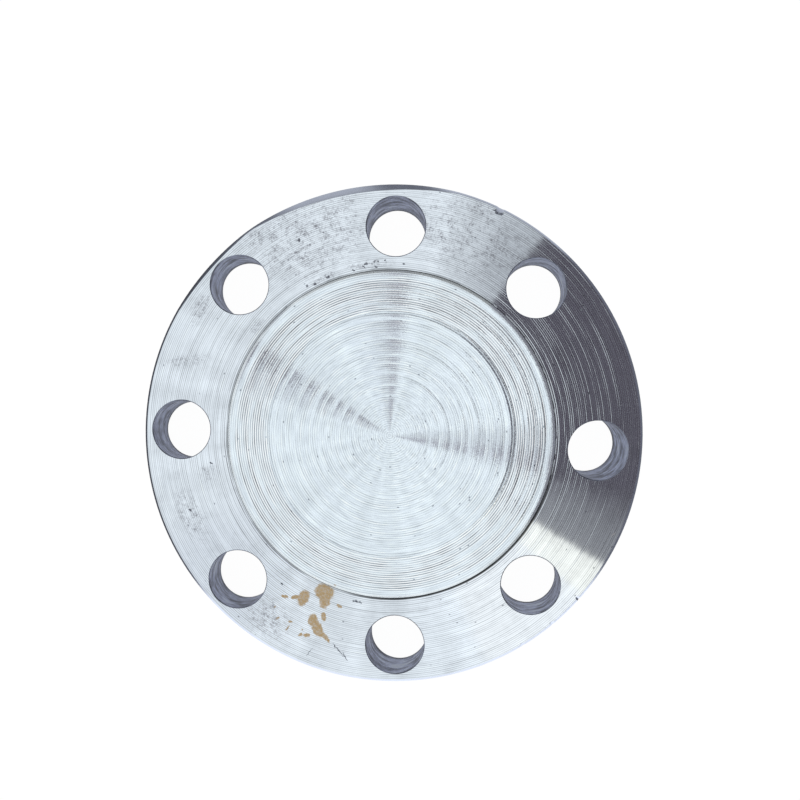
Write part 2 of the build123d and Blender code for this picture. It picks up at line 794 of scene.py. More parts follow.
@dataclass
class Rim:
    """The outer edge: the chamfer or the wide bevel in front, the side, and the back chamfer.

    Attributes:
        form: The shared sizes.
        plate: The plate, whose edge the rim starts from.
        edge_round: Width of the rounding at the bevel's two edges.
        inner_drop: How far the inner rounding drops, as a share of its width.
        outer_rise: How far the outer rounding starts over the corner, as a share of its width.
        side_steps: Rows of faces on the side.
    """

    form: FlangeForm
    plate: Plate
    edge_round: float = 0.12 * MM
    inner_drop: float = 0.7
    outer_rise: float = 0.9
    side_steps: int = 4

    def build(self) -> list[Patch]:
        """Makes the rim from rows that run round the flange, each at one place across it.

        The bevel falls at 45 degrees, so its outer corner lies as far under the plate
        as it lies outside the bevel's start.

        Returns:
            The bevel, and the side with the back chamfer.
        """
        form, edge = self.form, self.edge_round
        azimuths = self.plate.all_edge_azimuths()
        start = form.edge_radius(azimuths)
        corner = form.plate_height - (form.outside_radius - start)
        level = form.plate_height - self.plate.profile.depth(start)
        outside = np.full_like(start, form.outside_radius)
        inner_round = level - edge * self.inner_drop
        outer_round = corner + edge * self.outer_rise
        bevel = polar_points(
            np.stack([start, start + edge, outside - edge / 2, outside]),
            azimuths,
            np.stack([level, inner_round, outer_round, corner - edge]),
        )
        share = np.linspace(0.0, 1.0, self.side_steps + 1)[:, None]
        side_height = (corner - edge) * (1.0 - share) + form.edge_chamfer * share
        side_radius = np.repeat(outside[None, :], len(side_height), axis=0)
        back_radius = outside[None, :] - form.edge_chamfer
        side = polar_points(
            np.concatenate([side_radius, back_radius]),
            azimuths,
            np.concatenate([side_height, np.zeros_like(back_radius)]),
        )
        return [grid_patch(bevel, Skin.RIM), grid_patch(side, Skin.RIM)]


@dataclass
class BackFace:
    """The flat back: a middle disc and one outline for each half of the plate round a hole.

    Attributes:
        form: The shared sizes.
        bores: The hole walls, whose back ends the outlines follow.
        disc_radius: Radius of the middle disc.
    """

    form: FlangeForm
    bores: Bores
    disc_radius: float = 58.0 * MM

    def build(self) -> list[Patch]:
        """Makes flat outlines that share their border points, looking down.

        Returns:
            The outlines and the disc.
        """
        form, plate = self.form, self.bores.plate
        back_radius = form.outside_radius - form.edge_chamfer
        patches = []
        corners = []
        for number in range(len(form.holes)):
            loop = self.bores.loops(number)[-1]
            farthest = int(np.argmax(np.linalg.norm(plate.opening(number)[:, :2], axis=1)))
            halves = (loop[: farthest + 1], loop[farthest:][::-1])
            for sector, half in zip(form.sectors[2 * number : 2 * number + 2], halves):
                arc = polar_points(back_radius, plate.edge_azimuths(sector), 0.0)
                ends = np.array([sector.centre_azimuth, sector.border])
                ends = polar_points(self.disc_radius, ends, 0.0)
                outline = np.concatenate([arc, half[::-1], ends])
                order = list(range(len(outline)))
                patches.append(Patch(outline, [order if sector.side > 0 else order[::-1]], Skin.BACK))
                corners.append(sector.border if sector.side > 0 else sector.centre_azimuth)
        disc = polar_points(self.disc_radius, np.array(corners), 0.0)
        patches.append(Patch(disc, [list(range(len(disc)))[::-1]], Skin.BACK))
        return patches


def placed(name: str, data: bpy.types.ID) -> bpy.types.Object:
    """Makes an object from its data and puts it in the scene.

    Args:
        name: The object's name.
        data: Its mesh, lamp or camera.

    Returns:
        The object.
    """
    thing = bpy.data.objects.new(name, data)
    bpy.context.scene.collection.objects.link(thing)
    return thing


@dataclass
class FlangeBody:
    """The whole flange as one closed mesh.

    Attributes:
        form: The shared sizes.
        name: The piece's name.
        weld_gap: Points nearer than this become one.
        sharp_angle: Edges that turn more than this stay sharp, in degrees.
    """

    form: FlangeForm
    name: str = "turned_flange"
    weld_gap: float = 0.001 * MM
    sharp_angle: float = 27.0

    def __post_init__(self) -> None:
        """Makes the sub-assemblies from the shared sizes."""
        self.face = RaisedFace(self.form)
        self.plate = Plate(self.form)
        self.bores = Bores(self.form, self.plate)
        self.rim = Rim(self.form, self.plate)
        self.back = BackFace(self.form, self.bores)

    def build(self, materials: dict[Skin, bpy.types.Material]) -> bpy.types.Object:
        """Welds the sheets of the sub-assemblies into one mesh and gives it its finishes.

        Args:
            materials: The material of each skin.

        Returns:
            The flange's object, at the origin.
        """
        patches: list[Patch] = []
        for part in (self.face, self.plate, self.bores, self.rim, self.back):
            sheets = part.build()
            patches += sheets
            log.info("%s: %d faces", type(part).__name__, sum(len(sheet.faces) for sheet in sheets))
        starts = np.cumsum([0] + [len(patch.points) for patch in patches])
        faces: list[list[int]] = []
        skins: list[int] = []
        for patch, start in zip(patches, starts.tolist()):
            faces += [[start + number for number in face] for face in patch.faces]
            skins += [patch.skin.value] * len(patch.faces)
        mesh = bpy.data.meshes.new(self.name)
        mesh.from_pydata(np.concatenate([patch.points for patch in patches]), [], faces)
        mesh.polygons.foreach_set("material_index", skins)
        mesh.polygons.foreach_set("use_smooth", [skin != Skin.BACK.value for skin in skins])
        self.weld(mesh)
        self.write_lean(mesh)
        for skin in Skin:
            mesh.materials.append(materials[skin])
        return placed(self.name, mesh)

    def weld(self, mesh: bpy.types.Mesh) -> None:
        """Joins the points that the sheets share and marks the edges that stay sharp.

        Faces thinner than a tenth of the weld gap are dissolved.

        Args:
            mesh: The flange's mesh.
        """
        sheet = bmesh.new()
        sheet.from_mesh(mesh)
        bmesh.ops.remove_doubles(sheet, verts=sheet.verts, dist=self.weld_gap)
        bmesh.ops.dissolve_degenerate(sheet, edges=sheet.edges, dist=self.weld_gap / 10)
        sheet.to_mesh(mesh)
        sheet.free()
        mesh.set_sharp_from_angle(angle=math.radians(self.sharp_angle))
        mesh.update()

    def write_lean(self, mesh: bpy.types.Mesh) -> None:
        """Stores at each point how far the tool's fine facets lean outwards there, in radians.

        Args:
            mesh: The flange's mesh.
        """
        flat = np.empty(len(mesh.vertices) * 3)
        mesh.vertices.foreach_get("co", flat)
        points = flat.reshape(-1, 3)
        radius = np.hypot(points[:, 0], points[:, 1])
        on_face = radius < self.form.face_root_radius
        lean = np.where(on_face, self.face.lean(radius), self.plate.lean(radius))
        attribute = mesh.attributes.new("lean", "FLOAT", "POINT")
        attribute.data.foreach_set("value", lean)


# ---------------------------------------------------------------------------
# Finishes
# ---------------------------------------------------------------------------

# Noise levels between which each pattern grows from nothing to full
CRUMB_LEVELS = (0.35, 0.60)
GRAIN_LEVELS = (0.32, 0.58)
SMEAR_LEVELS = (0.40, 0.66)
SCORE_LEVELS = (0.35, 0.60)
CLOUD_LEVELS = (0.42, 0.75)
DRILL_LEVELS = (0.32, 0.68)
FOLD_LEVELS = (0.35, 0.65)

# Places across a tool line, from 0 in its valley to 0.5 on its crest, between which each fades
VALLEY_FADE = (0.05, 0.32)
CREST_FADE = (0.32, 0.48)

# Distances from a middle between which each fades, as shares of its width
SCORE_FADE = (0.3, 0.7)
FLANK_FADE = (0.35, 0.65)
ARC_FADE = (0.2, 0.6)
SPECK_FADE = (0.08, 0.18)

# Cosines of the angle from a darkened arc's darkest place between which it grows to full
ARC_COSINES = (0.55, 0.90)

# How fine the noises of the marks are
SMEARS_PER_METRE = 420.0
CRUMBS_PER_METRE = 1400.0
WANDERS_PER_METRE = 900.0

# Width of the grain that grime follows, and how many of its streaks there are along a radian
GRAIN_WIDTH = 0.9 * MM
GRAIN_RUN = 18.0

# How far a mark's ragged edge wanders, and how much rougher a mark without metal is
MARK_WANDER = 1.7 * MM
MARK_ROUGHNESS = 0.3

PIT_COLOUR = (0.085, 0.095, 0.125)


class NodeSheet:
    """Writes a node tree in short calls: each adds one node and gives its output."""

    def __init__(self, tree: bpy.types.NodeTree) -> None:
        """Empties the tree."""
        self.tree = tree
        tree.nodes.clear()

    def node(self, kind: str, inputs: dict | None = None, **settings: object) -> bpy.types.Node:
        """Adds a node.

        Args:
            kind: The node's type.
            inputs: What goes into its sockets: a number or colour, or another node's output.
            settings: Its properties.

        Returns:
            The node.
        """
        node = self.tree.nodes.new(kind)
        for name, setting in settings.items():
            setattr(node, name, setting)
        for name, value in (inputs or {}).items():
            if isinstance(value, bpy.types.NodeSocket):
                self.tree.links.new(value, node.inputs[name])
            else:
                node.inputs[name].default_value = value
        return node

    def math(self, operation: str, *values: Value, clamp: bool = False) -> Socket:
        """Adds a Math node over the values."""
        node = self.node("ShaderNodeMath", dict(enumerate(values)), operation=operation, use_clamp=clamp)
        return node.outputs[0]

    def product(self, first: Value, *others: Value) -> Value:
        """Multiplies numbers in turn.

        Args:
            first: The first number.
            others: The others.

        Returns:
            The product.
        """
        for other in others:
            first = self.math("MULTIPLY", first, other)
        return first

    def gap(self, value: Value, middle: float) -> Socket:
        """Gives how far a value lies from a middle."""
        return self.math("ABSOLUTE", self.math("SUBTRACT", value, middle))

    def azimuth(self, x: Socket, y: Socket) -> Socket:
        """Gives the azimuth of a direction, in degrees."""
        return self.product(self.math("ARCTAN2", y, x), DEGREES)

    def turn_from(self, azimuth: Socket, middle: float) -> Socket:
        """Gives the angle between two azimuths in degrees, from 0 to 180."""
        turn = self.math("SUBTRACT", azimuth, middle)
        return self.math("ABSOLUTE", self.math("WRAP", turn, 180.0, -180.0))

    def vector(self, operation: str, *values: object) -> Socket:
        """Adds a Vector Math node and gives its vector, or its number for a length."""
        node = self.node("ShaderNodeVectorMath", dict(enumerate(values)), operation=operation)
        return node.outputs["Value" if operation in ("LENGTH", "DOT_PRODUCT") else "Vector"]

    def scaled(self, vector: Socket, factor: Value) -> Socket:
        """Multiplies a vector by a number."""
        node = self.node("ShaderNodeVectorMath", {0: vector, "Scale": factor}, operation="SCALE")
        return node.outputs[0]

    def combine(self, x: Value, y: Value, z: Value) -> Socket:
        """Makes a vector from three numbers."""
        return self.node("ShaderNodeCombineXYZ", {0: x, 1: y, 2: z}).outputs[0]

    def separate(self, vector: Socket) -> tuple[Socket, Socket, Socket]:
        """Gives the three numbers of a vector."""
        outputs = self.node("ShaderNodeSeparateXYZ", {0: vector}).outputs
        return outputs[0], outputs[1], outputs[2]

    def noise(
        self, vector: Socket, scale: float = 1.0, detail: float = 2.0, roughness: float = 0.5
    ) -> Socket:
        """Adds a Noise Texture and gives its height, about 0.5 in the middle."""
        inputs = {"Vector": vector, "Scale": scale, "Detail": detail, "Roughness": roughness}
        return self.node("ShaderNodeTexNoise", inputs).outputs[0]

    def remap(
        self, value: Value, low: Value, high: Value, to_low: float = 0.0, to_high: float = 1.0
    ) -> Socket:
        """Maps low..high to to_low..to_high along a smooth S curve, clamped at both ends."""
        ends = {"From Min": low, "From Max": high, "To Min": to_low, "To Max": to_high}
        node = self.node("ShaderNodeMapRange", {"Value": value, **ends}, interpolation_type="SMOOTHSTEP")
        return node.outputs[0]

    def mix(self, share: Value, first: object, second: object) -> Socket:
        """Mixes two colours; sockets 0, 6 and 7 are the factor and the two colours."""
        inputs = {0: share, 6: first, 7: second}
        return self.node("ShaderNodeMix", inputs, data_type="RGBA").outputs[2]


class SteelSheet(NodeSheet):
    """The nodes of a steel finish, with the coordinates that its patterns follow.

    Attributes:
        place: Object coordinates.
        height: Height over the back face.
        radius: Distance from the turning axis.
        outwards: Unit vector that points away from the axis.
    """

    def __init__(self, tree: bpy.types.NodeTree) -> None:
        """Empties the tree and adds the coordinates."""
        super().__init__(tree)
        self.place = self.node("ShaderNodeTexCoord").outputs["Object"]
        x, y, self.height = self.separate(self.place)
        flat = self.combine(x, y, 0.0)
        self.radius = self.vector("LENGTH", flat)
        self.outwards = self.vector("NORMALIZE", flat)

    def rings(self, across: Socket, width: float, run: float) -> Socket:
        """Draws noise drawn out along circles: fine across them and slow along them.

        The noise is read at (across / width, run times the outward unit vector).

        Args:
            across: Place across the circles, in metres.
            width: Width of a streak, in metres.
            run: How many streaks follow each other along a radian.

        Returns:
            The noise.
        """
        along_x, along_y, _ = self.separate(self.scaled(self.outwards, run))
        place = self.combine(self.math("DIVIDE", across, width), along_x, along_y)
        return self.noise(place, detail=3.0, roughness=0.65)


def rgba(colour: Triple) -> tuple[float, float, float, float]:
    """Adds a full alpha to a colour."""
    return (*colour, 1.0)


@dataclass(frozen=True)
class Mark:
    """A stain, pit, scratch or patch of grime on the front: an ellipse, in millimetres.

    Attributes:
        x: Where its middle lies.
        y: The same, along Y.
        length: Its length.
        width: Its width.
        turn: How far its length is turned from +X, in degrees.
    """

    x: float
    y: float
    length: float
    width: float
    turn: float


def marks(*rows: tuple[float, float, float, float, float]) -> tuple[Mark, ...]:
    """Makes marks from rows of their sizes."""
    return tuple(Mark(*row) for row in rows)


@dataclass(frozen=True)
class MarkLayer:
    """All marks of one kind and how they look.

    Attributes:
        colour: Their colour.
        metallic: How metallic the surface stays under them.
        fade: How far their edges fade, as a share of their size.
        marks: The marks.
        thinnest: How much of them is left between their crumbs.
        smeared: Whether they follow the tool's lines in smears.
    """

    colour: Triple
    metallic: float
    fade: float
    marks: tuple[Mark, ...]
    thinnest: float = 0.7
    smeared: bool = False

    def cover(self, sheet: SteelSheet, ragged: Socket, crumbs: Socket, grain: Socket) -> Socket:
        """Gives how much of the steel the marks hide at each place.

        A mark hides its ellipse, with a soft edge; where two overlap, the stronger one
        counts. Crumbs break it up.

        Args:
            sheet: The material's nodes.
            ragged: Coordinates with a ragged shift, which roughens the edges.
            crumbs: Fine noise.
            grain: Noise along the circles.

        Returns:
            The share.
        """
        cover: Value = 0.0
        for mark in self.marks:
            inputs = {
                "Vector": ragged,
                "Location": (mark.x * MM, mark.y * MM, 0.0),
                "Rotation": (0.0, 0.0, math.radians(mark.turn)),
                "Scale": (mark.length / 2 * MM, mark.width / 2 * MM, 1.0),
            }
            inside = sheet.node("ShaderNodeMapping", inputs, vector_type="TEXTURE").outputs[0]
            off = sheet.vector("LENGTH", inside)
            reach = sheet.remap(off, 1.0 - self.fade / 2, 1.0 + self.fade / 2, 1.0, 0.0)
            cover = sheet.math("MAXIMUM", reach, cover)
        crumbs = sheet.remap(crumbs, *CRUMB_LEVELS, self.thinnest, 1.0)
        if self.smeared:
            smears = sheet.noise(sheet.place, SMEARS_PER_METRE, detail=8.0, roughness=0.8)
            smears = sheet.remap(smears, *SMEAR_LEVELS)
            crumbs = sheet.product(crumbs, sheet.remap(grain, *GRAIN_LEVELS), smears)
        return sheet.product(cover, crumbs)


MARK_LAYERS = (
    # Rust
    MarkLayer(
        colour=(0.445, 0.320, 0.165),
        metallic=0.25,
        fade=0.35,
        marks=marks(
            (-32.4, -63.9, 6.4, 4.2, 62.0),
            (-35.6, -63.6, 3.0, 1.6, 10.0),
            (-24.3, -61.4, 7.6, 6.2, -20.0),
            (-24.0, -64.9, 5.6, 4.2, 80.0),
            (-24.4, -71.0, 3.6, 2.0, 100.0),
            (-28.6, -72.4, 5.0, 3.6, 80.0),
            (-26.8, -75.6, 7.0, 3.8, -62.0),
            (-23.8, -78.8, 5.6, 1.7, -48.0),
            (-31.0, -78.4, 3.0, 1.5, -8.0),
            (-33.4, -78.4, 1.6, 1.2, 20.0),
            (-39.6, -63.6, 3.0, 1.3, -15.0),
            (-37.4, -73.4, 1.9, 1.0, -10.0),
            (-38.4, -75.7, 2.6, 0.7, 55.0),
            (-42.4, -72.0, 1.8, 0.7, 35.0),
            (-43.6, -67.8, 1.2, 0.8, 30.0),
            (-32.8, -76.2, 0.9, 0.8, 0.0),
            (-18.4, -66.6, 2.4, 0.7, -25.0),
            (-20.2, -58.2, 1.8, 0.7, 5.0),
        ),
    ),
    # Pits and scratches
    MarkLayer(
        colour=PIT_COLOUR,
        metallic=0.60,
        fade=0.25,
        marks=marks(
            (-29.8, -84.9, 4.2, 0.3, 55.0),
            (-18.6, -83.6, 7.4, 0.3, -50.0),
            (-15.8, -86.2, 4.0, 0.4, -54.0),
            (-40.9, -58.7, 1.2, 0.7, -30.0),
            (-11.6, -64.6, 3.6, 0.8, -10.0),
            (-7.1, 66.1, 1.1, 0.9, 30.0),
            (-10.5, 64.9, 1.3, 0.9, 10.0),
            (-5.9, 66.1, 0.8, 0.7, 0.0),
            (-3.3, 66.5, 1.0, 0.7, 60.0),
            (-11.3, 63.9, 1.4, 0.6, -60.0),
            (-15.2, 62.4, 1.1, 0.7, 20.0),
            (-6.6, 63.9, 1.1, 0.7, -30.0),
            (4.0, 65.1, 0.9, 0.6, 30.0),
            (-36.3, 73.7, 1.2, 1.0, -20.0),
            (-33.0, 56.3, 1.3, 1.0, 0.0),
            (-29.9, 57.1, 1.2, 0.9, 60.0),
            (-24.9, 59.8, 1.4, 0.9, 40.0),
            (71.0, 48.7, 1.3, 0.8, 0.0),
            (-69.3, -12.4, 1.0, 0.8, 0.0),
            (-77.4, -30.9, 1.0, 0.8, 0.0),
            # This one makes the chip in the front edge at 65 degrees darker
            (39.2, 84.8, 4.0, 1.7, -25.0),
        ),
    ),
    # Bright nicks
    MarkLayer(
        colour=(0.900, 0.930, 0.950),
        metallic=1.0,
        fade=0.25,
        marks=marks(
            (60.8, 21.5, 0.9, 0.8, 0.0),
            (85.6, -35.6, 2.6, 0.5, 40.0),
        ),
    ),
    # Grime
    MarkLayer(
        colour=(0.150, 0.150, 0.180),
        metallic=0.70,
        fade=1.30,
        marks=marks(
            (-32.0, 74.5, 46.0, 26.0, 23.0),
            (-40.5, 81.0, 40.0, 9.0, 27.0),
            (-52.0, 75.0, 14.0, 5.0, 35.0),
            (-17.5, 88.0, 5.0, 9.0, 11.0),
            (-70.2, -16.2, 7.0, 5.5, 10.0),
            (-77.0, -33.0, 18.0, 9.0, -66.0),
            (-46.0, -72.0, 16.0, 12.0, -34.0),
            (-74.0, 47.0, 12.0, 6.0, 57.0),
            (-79.5, 27.0, 14.0, 4.0, 10.0),
            (19.4, 72.4, 5.0, 3.5, 75.0),
            (-9.0, 64.8, 16.0, 3.0, 6.0),
            (-26.0, 59.5, 14.0, 2.6, 24.0),
            (-52.0, 40.5, 6.0, 3.0, 50.0),
            (30.3, 75.1, 46.0, 26.0, -22.0),
            (34.0, 84.0, 24.0, 7.0, -22.0),
            (38.0, 74.0, 14.0, 5.0, -24.0),
        ),
        thinnest=0.15,
        smeared=True,
    ),
)


def marked(sheet: SteelSheet, colour: Socket, rough: Value) -> tuple[Socket, Socket, Socket]:
    """Lays all marks over the steel.

    Args:
        sheet: The material's nodes.
        colour: The steel's colour.
        rough: The steel's roughness.

    Returns:
        Colour, metallic and roughness with the marks.
    """
    inputs = {"Vector": sheet.place, "Scale": WANDERS_PER_METRE, "Detail": 4.0}
    wander = sheet.node("ShaderNodeTexNoise", inputs).outputs[1]
    wander = sheet.scaled(sheet.vector("SUBTRACT", wander, (0.5, 0.5, 0.5)), MARK_WANDER)
    ragged = sheet.vector("MULTIPLY", sheet.vector("ADD", sheet.place, wander), (1.0, 1.0, 0.0))
    crumbs = sheet.noise(sheet.place, CRUMBS_PER_METRE, detail=3.0)
    grain = sheet.rings(sheet.radius, GRAIN_WIDTH, GRAIN_RUN)
    metallic: Value = 1.0
    for layer in MARK_LAYERS:
        cover = layer.cover(sheet, ragged, crumbs, grain)
        dull = 1.0 - layer.metallic
        colour = sheet.mix(cover, colour, rgba(layer.colour))
        metallic = sheet.math("SUBTRACT", metallic, sheet.product(cover, dull), clamp=True)
        rough = sheet.math("MULTIPLY_ADD", cover, MARK_ROUGHNESS * dull, rough)
    return colour, metallic, rough


@dataclass(frozen=True)
class ToolMarks:
    """What the turning tool left: lines one feed apart, and facets that lean outwards.

    Attributes:
        feed: Distance between lines, in metres; a crest lies on every multiple of it.
        valley_dirt_and_shade: How much darker the valley between two crests is, as a share: dirt and
            painted shade.
        line_run: How often a line fades and returns along a radian.
        line_levels: Noise levels between which a line grows from faint to full.
        painted_crest_highlight: How much a painted highlight brightens a crest, as a share of what its
            valley darkens.
        coarse_from: Radius from which the lines are coarse, in metres.
        coarse_to: Radius up to which they are.
        coarse_valley_dirt_and_shade: How much darker the valleys of the coarse lines are, as a share:
            dirt and painted shade.
        scores_and_foot_shade: Single deeper lines, and painted shade at the foot of the raised face's
            wall: the radius
        and width in millimetres, and how much darker they are, as a share.
        lean_scatter: How much the lean varies from place to place, in degrees.
        lean_width: Width of the streaks in that scatter, in metres.
        lean_run: How many of those streaks follow each other along a radian.
        side_scatter: How much the facets turn sideways from place to place, in degrees.
        flank_lean: How far the flank between two facets leans back towards the axis, in degrees.
        flank_width: Width of the flank, as a share of the feed.
        flank_inner: The same at the radius from which the lines are coarse.
        flank_shift: How far a flank's middle lies from a valley's, as a share of the feed.
        flank_change: Over what distance outwards flank_inner becomes flank_width, in metres.
        speck_share: Share of the small cells that hold a dark speck.
        cloud_tint: How much darker the smudges left by handling are, as a share.
        cloud_size: Size of the smudges, in metres.
        speck_cell: Size of the cells that hold a speck each, in metres.
        speck_stretch: How much longer a speck is along the circles than across them.
        speck_strength: How dark a speck is, as a share.
        patch_width: Width of the patches in which a score shows, in metres.
        patch_run: How many of those patches follow each other along a radian.
    """

    feed: float
    valley_dirt_and_shade: float
    line_run: float
    line_levels: tuple[float, float]
    painted_crest_highlight: float
    coarse_from: float
    coarse_to: float
    coarse_valley_dirt_and_shade: float
    scores_and_foot_shade: tuple[Triple, ...]
    lean_scatter: float
    lean_width: float
    lean_run: float
    side_scatter: float
    flank_lean: float
    flank_width: float
    flank_inner: float
    speck_share: float
    cloud_tint: float
    flank_shift: float = 0.3
    flank_change: float = 9.0 * MM
    cloud_size: float = 7.0 * MM
    speck_cell: float = 2.0 * MM
    speck_stretch: float = 1.7
    speck_strength: float = 0.7
    patch_width: float = 2.0 * MM
    patch_run: float = 2.5

    def lined(self, sheet: SteelSheet, brightness: Socket) -> Socket:
        """Darkens the valleys between the lines with dirt and painted shade, brightens the crests with a
        painted highlight, and lays smudges over all.

        The place across a line is |fract(radius / feed) - 1/2|: 0 in the valley and 1/2 on
        the crest. Valleys and crests fade between two such places each.

        Args:
            sheet: The material's nodes.
            brightness: The steel's brightness.

        Returns:
            The brightness with the lines, the scores and the smudges.
        """
        feeds = sheet.math("DIVIDE", sheet.radius, self.feed)
        across = sheet.gap(sheet.math("FRACT", feeds), 0.5)
        # Dirt and painted shade in the valleys
        valley = sheet.remap(across, *VALLEY_FADE, 1.0, 0.0)
        crest = sheet.remap(across, *CREST_FADE)
        strength = self.line_strength(sheet, feeds)
        coarse = sheet.product(
            sheet.remap(sheet.radius, self.coarse_from, self.coarse_from + MM),
            sheet.remap(sheet.radius, self.coarse_to, self.coarse_to + MM, 1.0, 0.0),
        )
        tint = sheet.math("MULTIPLY_ADD", coarse, self.coarse_valley_dirt_and_shade - self.valley_dirt_and_shade, self.valley_dirt_and_shade)
        lines = sheet.product(valley, strength, tint)
        patchy = sheet.rings(sheet.radius, self.patch_width, self.patch_run)
        patchy = sheet.remap(patchy, *SCORE_LEVELS)
        # Single lines, and painted shade at the foot of the wall
        for middle, width, score_tint in self.scores_and_foot_shade:
            inner, outer = (share * width * MM for share in SCORE_FADE)
            off = sheet.gap(sheet.radius, middle * MM)
            score = sheet.remap(off, inner, outer, score_tint, 0.0)
            lines = sheet.math("MULTIPLY_ADD", score, patchy, lines)
        clouds = sheet.noise(sheet.place, 1.0 / self.cloud_size, detail=6.0, roughness=0.7)
        clouds = sheet.remap(clouds, *CLOUD_LEVELS, 0.0, self.cloud_tint)
        # Painted highlight on the crests
        crest = sheet.product(crest, strength, tint)
        brightness = sheet.math("MULTIPLY_ADD", crest, self.painted_crest_highlight, brightness)
        return sheet.math("SUBTRACT", sheet.math("SUBTRACT", brightness, lines), clouds)

    def line_strength(self, sheet: SteelSheet, feeds: Socket) -> Socket:
        """Gives each of the tool's lines its own strength, which comes and goes along it.

        The noise is read at a place of its own for each line, far from the next line's.

        Args:
            sheet: The material's nodes.
            feeds: Radius, counted in feeds.

        Returns:
            Strengths from 0 to 1.
        """
        apart = 3.7
        x, y, _ = sheet.separate(sheet.scaled(sheet.outwards, self.line_run))
        each = sheet.combine(sheet.product(sheet.math("FLOOR", feeds), apart), x, y)
        return sheet.remap(sheet.noise(each, detail=3.0, roughness=0.7), *self.line_levels)

    def specks(self, sheet: SteelSheet) -> Socket:
        """Scatters small dark specks, a little longer along the circles than across them.

        Args:
            sheet: The material's nodes.

        Returns:
            How dark the speck is at each place, as a share.
        """
        stretched = self.speck_stretch * self.speck_cell
        around = sheet.scaled(sheet.outwards, sheet.math("DIVIDE", sheet.radius, stretched))
        x, y, _ = sheet.separate(around)
        spot = sheet.combine(x, y, sheet.math("DIVIDE", sheet.radius, self.speck_cell))
        cells = sheet.node("ShaderNodeTexVoronoi", {"Vector": spot, "Scale": 1.0})
        near = sheet.remap(cells.outputs["Distance"], *SPECK_FADE, 1.0, 0.0)
        pick = sheet.separate(cells.outputs["Color"])[0]
        chosen = sheet.remap(pick, self.speck_share, self.speck_share + 0.02, 1.0, 0.0)
        return sheet.product(near, chosen, self.speck_strength)

    def leaning(self, sheet: SteelSheet, normal: Socket) -> Socket:
        """Tips the normal outwards, back on each flank, and sideways.

        The lean is the mesh's own, plus a scatter, less flank_lean on the flanks. The new
        normal is n + tan(lean) o + swerve s, where o points outwards and s along the
        circle. Noise of this kind stays within a quarter of its middle nearly
        everywhere, so four times the angle covers the scatter.

        Args:
            sheet: The material's nodes.
            normal: The surface's normal.

        Returns:
            The tipped normal.
        """
        spread = 4.0
        lean = sheet.node("ShaderNodeAttribute", attribute_name="lean").outputs["Fac"]
        patch = sheet.math("SUBTRACT", sheet.rings(sheet.radius, self.lean_width, self.lean_run), 0.5)
        lean = sheet.math("MULTIPLY_ADD", patch, spread * math.radians(self.lean_scatter), lean)
        feeds = sheet.math("ADD", sheet.math("DIVIDE", sheet.radius, self.feed), self.flank_shift)
        across = sheet.gap(sheet.math("FRACT", feeds), 0.5)
        outer = self.coarse_from + self.flank_change
        width = sheet.remap(sheet.radius, self.coarse_from, outer, self.flank_inner, self.flank_width)
        flank = sheet.remap(sheet.math("DIVIDE", across, width), *FLANK_FADE, 1.0, 0.0)
        flank = sheet.product(flank, self.line_strength(sheet, feeds))
        lean = sheet.math("MULTIPLY_ADD", flank, math.radians(-self.flank_lean), lean)
        elsewhere = sheet.math("ADD", sheet.radius, 1.0)
        swerve = sheet.rings(elsewhere, self.lean_width, 3.0 * self.lean_run)
        swerve = sheet.math("SUBTRACT", swerve, 0.5)
        swerve = sheet.product(swerve, spread * math.radians(self.side_scatter))
        sideways = sheet.scaled(sheet.vector("CROSS_PRODUCT", (0.0, 0.0, 1.0), sheet.outwards), swerve)
        leaned = sheet.scaled(sheet.outwards, sheet.math("TANGENT", lean))
        tipped = sheet.vector("ADD", leaned, sideways)
        return sheet.vector("NORMALIZE", sheet.vector("ADD", normal, tipped))


@dataclass(frozen=True)
class DarkenedArc:
    """A darker band along a circle, over part of a turn; at the foot of the raised face's wall it is
    painted shade.

    Attributes:
        radius: The circle's radius, in millimetres.
        width: Its width, in millimetres.
        azimuth: Where it is darkest, in degrees.
        tint: How much darker it is there, as a share.
    """

    radius: float
    width: float
    azimuth: float
    tint: float

    def darkened(self, sheet: SteelSheet, brightness: Socket) -> Socket:
        """Darkens the circle, most at its azimuth and less towards the sides.

        The share round the turn grows with the cosine of the angle from the azimuth, and
        the share across falls with the distance from the circle.

        Args:
            sheet: The material's nodes.
            brightness: The steel's brightness.

        Returns:
            The brightness with the darker band.
        """
        angle = math.radians(self.azimuth)
        darkest = (math.cos(angle), math.sin(angle), 0.0)
        arc = sheet.remap(sheet.vector("DOT_PRODUCT", sheet.outwards, darkest), *ARC_COSINES)
        inner, outer = (share * self.width * MM for share in ARC_FADE)
        off = sheet.gap(sheet.radius, self.radius * MM)
        line = sheet.remap(off, inner, outer, self.tint, 0.0)
        return sheet.product(brightness, sheet.math("SUBTRACT", 1.0, sheet.product(arc, line)))


